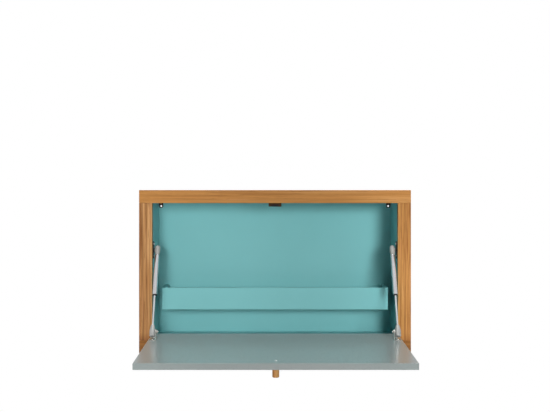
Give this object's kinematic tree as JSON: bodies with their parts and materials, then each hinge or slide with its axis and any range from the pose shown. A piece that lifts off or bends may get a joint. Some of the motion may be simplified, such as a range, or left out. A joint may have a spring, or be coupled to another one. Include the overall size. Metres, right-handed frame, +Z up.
{
  "type": "fold down wall desk",
  "caption": "Wall-hung oak case with a lacquered inside and tray, and a drop flap on gas struts that folds down as a writing surface.",
  "frame": {"origin": "on the wall plane at the back of the case, midway between the two wall fixing holes", "axes": "+X across the desk to the right seen from the room, +Y towards the wall, +Z up"},
  "size_m": [0.9, 0.6541, 0.54],
  "materials": {
    "oak": "satin oiled oak with straight grain",
    "oak_knob": "satin turned oak dowel",
    "beech_dowel": "plain sanded beech",
    "teal_lacquer": "satin lacquer on board",
    "grey_lacquer": "satin to semi-gloss lacquer on board",
    "brown_plastic": "moulded plastic",
    "magnet": "sintered magnet",
    "dark_steel": "dark bronze coating on steel",
    "lacquered_steel": "grey lacquer sprayed over steel with the flap",
    "black_steel": "black coated steel",
    "black_plastic": "moulded plastic",
    "strut_tube": "silver grey paint on steel tube",
    "strut_rod": "polished chrome rod",
    "fitting_metal": "die cast, light grey",
    "screw_steel": "zinc plated steel",
    "zinc_steel": "zinc plated steel"
  },
  "bodies": {
    "case": {"back_panel": "teal_lacquer", "back_panel_screws": "screw_steel", "bottom_board": "oak", "case_dowels": "beech_dowel", "catch_housing": "brown_plastic", "catch_magnet": "magnet", "catch_pole_plates": "dark_steel", "catch_screws": "screw_steel", "floor_lining": "teal_lacquer", "hanging_bracket_screws": "screw_steel", "hinge_case_screws": "screw_steel", "left_hanging_bracket": "dark_steel", "left_hinge_case_leaf": "zinc_steel", "left_side_board": "oak", "left_side_lining": "teal_lacquer", "left_wall_bracket": "black_steel", "left_wall_bracket_screws": "screw_steel", "right_hanging_bracket": "dark_steel", "right_hinge_case_leaf": "zinc_steel", "right_side_board": "oak", "right_side_lining": "teal_lacquer", "right_wall_bracket": "black_steel", "right_wall_bracket_screws": "screw_steel", "top_board": "oak", "top_lining": "teal_lacquer", "tray_base": "teal_lacquer", "tray_front": "teal_lacquer", "tray_left_end": "teal_lacquer", "tray_right_end": "teal_lacquer", "tray_screws": "screw_steel"},
    "flap": {"flap_panel": "grey_lacquer", "hinge_flap_screws": "screw_steel", "knob": "oak_knob", "knob_screw": "screw_steel", "left_flap_bracket": "zinc_steel", "left_flap_bracket_screws": "screw_steel", "left_hinge_flap_leaf": "zinc_steel", "left_hinge_pin": "zinc_steel", "left_lower_ball_stud": "zinc_steel", "right_flap_bracket": "zinc_steel", "right_flap_bracket_screws": "screw_steel", "right_hinge_flap_leaf": "zinc_steel", "right_hinge_pin": "zinc_steel", "right_lower_ball_stud": "zinc_steel", "strike_plate": "lacquered_steel", "strike_screws": "lacquered_steel"},
    "left_rod": {"left_lower_end_fitting": "fitting_metal", "left_piston": "black_plastic", "left_rod": "strut_rod"},
    "left_tube": {"left_rod_guide": "black_plastic", "left_tube": "strut_tube", "left_upper_ball_stud": "zinc_steel", "left_upper_end_fitting": "fitting_metal"},
    "right_rod": {"right_lower_end_fitting": "fitting_metal", "right_piston": "black_plastic", "right_rod": "strut_rod"},
    "right_tube": {"right_rod_guide": "black_plastic", "right_tube": "strut_tube", "right_upper_ball_stud": "zinc_steel", "right_upper_end_fitting": "fitting_metal"}
  },
  "joints": [
    {"name": "flap_fold", "type": "hinge", "parent": "case", "child": "flap", "pos_m": [0, -0.2032, -0.4398], "axis": [-1, 0, 0], "range_deg": [0, 92]},
    {"name": "left_strut_swing", "type": "hinge", "parent": "flap", "child": "left_rod", "pos_m": [-0.3925, -0.30475, -0.39712], "axis": [1, 0, 0], "range_deg": [0, 123.65]},
    {"name": "left_strut_slide", "type": "slide", "parent": "left_rod", "child": "left_tube", "axis": [0, -0.4753, -0.8798], "range_m": [0, 0.09164]},
    {"name": "right_strut_swing", "type": "hinge", "parent": "flap", "child": "right_rod", "pos_m": [0.3925, -0.30475, -0.39712], "axis": [1, 0, 0], "range_deg": [0, 123.65]},
    {"name": "right_strut_slide", "type": "slide", "parent": "right_rod", "child": "right_tube", "axis": [0, -0.4753, -0.8798], "range_m": [0, 0.09164]}
  ],
  "couplings": [
    {"joint": "left_strut_swing", "follows": "flap_fold", "ratio": 1.3434},
    {"joint": "left_strut_slide", "follows": "flap_fold", "m_per_rad": 0.057039},
    {"joint": "right_strut_swing", "follows": "flap_fold", "ratio": 1.3434},
    {"joint": "right_strut_slide", "follows": "flap_fold", "m_per_rad": 0.057039}
  ]
}
